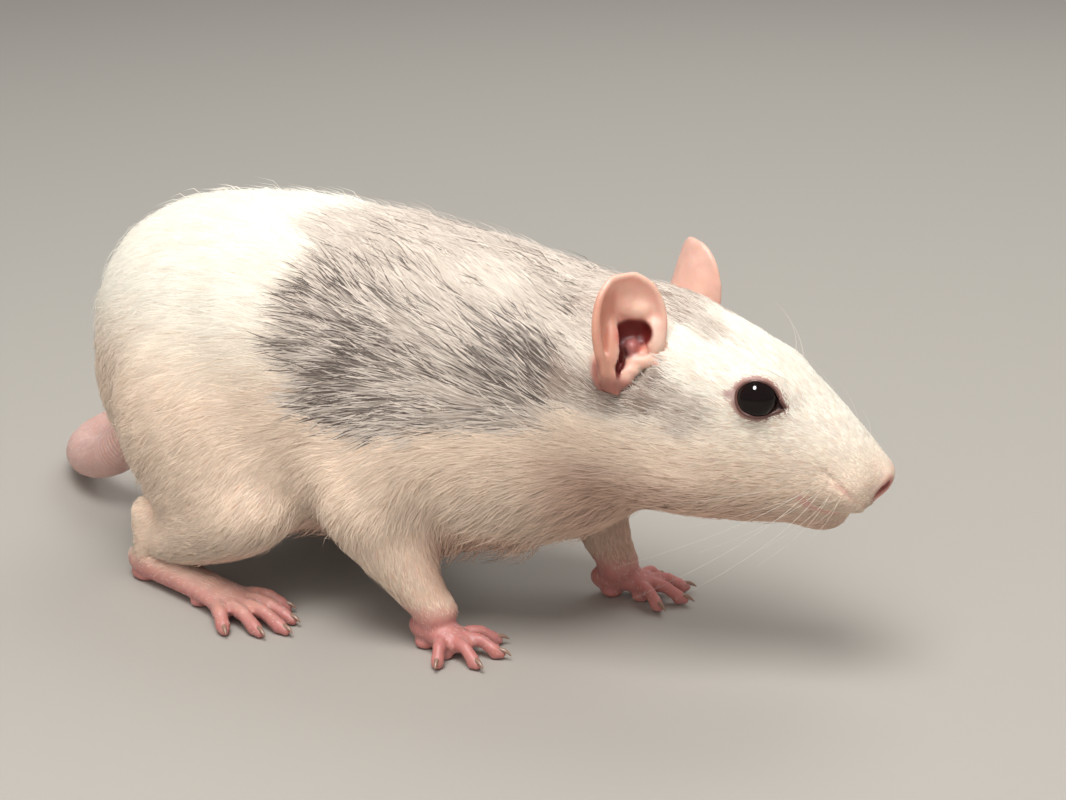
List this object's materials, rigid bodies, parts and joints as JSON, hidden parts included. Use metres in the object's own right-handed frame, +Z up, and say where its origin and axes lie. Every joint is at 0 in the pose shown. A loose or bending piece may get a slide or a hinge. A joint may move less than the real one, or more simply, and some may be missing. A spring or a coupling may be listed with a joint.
{
  "type": "pet rat",
  "caption": "Life-size pet rat that crouches with its head stretched forward and its tail curved round on the floor, as a still display model.",
  "frame": {"origin": "on the floor, at the middle of the footprint of the whole animal with its tail", "axes": "+X the way the body faces, +Y the animal's left side, +Z up"},
  "size_m": [0.1808, 0.118, 0.064],
  "materials": {
    "cream_coat": "short soft fur",
    "hooded_coat": "short soft fur, streaked silver grey and cream",
    "pink_skin": "thin bare skin",
    "dark_eye": "wet gloss"
  },
  "bodies": {
    "root": {"torso": "hooded_coat", "neck": "hooded_coat", "head": "cream_coat", "tail_root": "pink_skin", "tail_middle": "pink_skin", "tail_lower": "pink_skin", "tail_tip": "pink_skin", "hindleg_right": "cream_coat", "foreleg_right": "cream_coat", "hindfoot_right": "pink_skin", "forefoot_right": "pink_skin", "ear_right": "pink_skin", "eye_right": "dark_eye", "hindleg_left": "cream_coat", "foreleg_left": "cream_coat", "hindfoot_left": "pink_skin", "forefoot_left": "pink_skin", "ear_left": "pink_skin", "eye_left": "dark_eye"}
  },
  "joints": []
}
